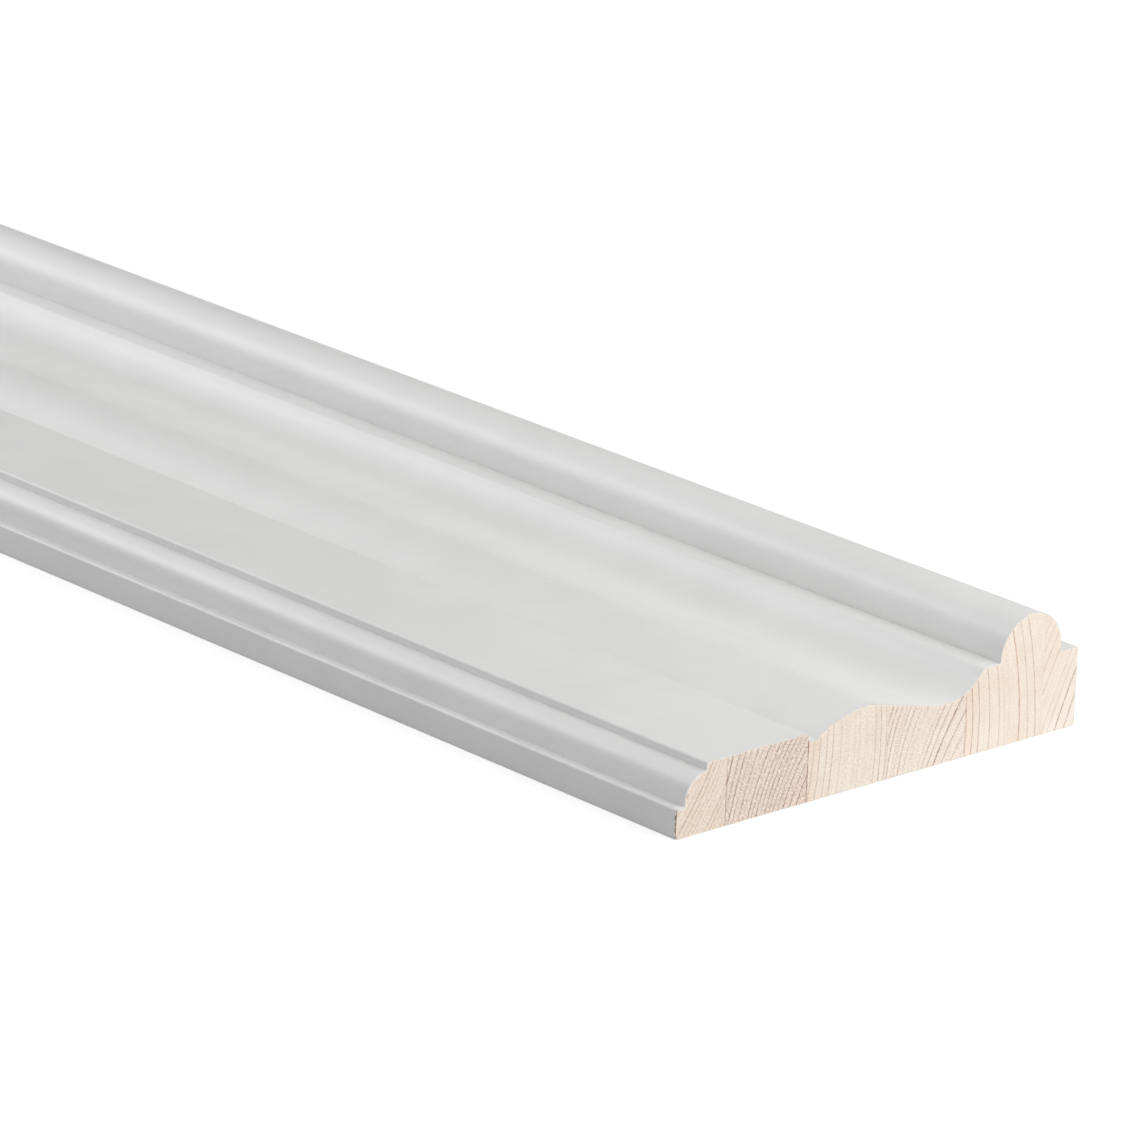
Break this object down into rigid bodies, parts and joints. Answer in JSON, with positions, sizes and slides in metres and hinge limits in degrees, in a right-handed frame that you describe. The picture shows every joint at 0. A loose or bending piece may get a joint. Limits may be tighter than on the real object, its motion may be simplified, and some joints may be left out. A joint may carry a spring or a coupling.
{
  "type": "decorative moulding",
  "caption": "Straight door surround moulding of glued pine laths, primed white, with an ovolo, flat, ogee, cove and big half-round bead.",
  "frame": {"origin": "on the flat back, at the middle of the length and of the width", "axes": "+X along the length to the near sawn end, +Y across the width from the thin edge to the thick edge, +Z out of the flat back through the thickness"},
  "size_m": [2.44, 0.12, 0.0294],
  "materials": {
    "primed_pine": "planed pine under a satin white primer on every long face",
    "sawn_pine": "bare end grain, sawn across, with the six laths and their growth rings in view"
  },
  "bodies": {
    "root": {"lath_1": "primed_pine", "lath_2": "primed_pine", "lath_3": "primed_pine", "lath_4": "primed_pine", "lath_5": "primed_pine", "lath_6": "primed_pine"}
  },
  "joints": []
}
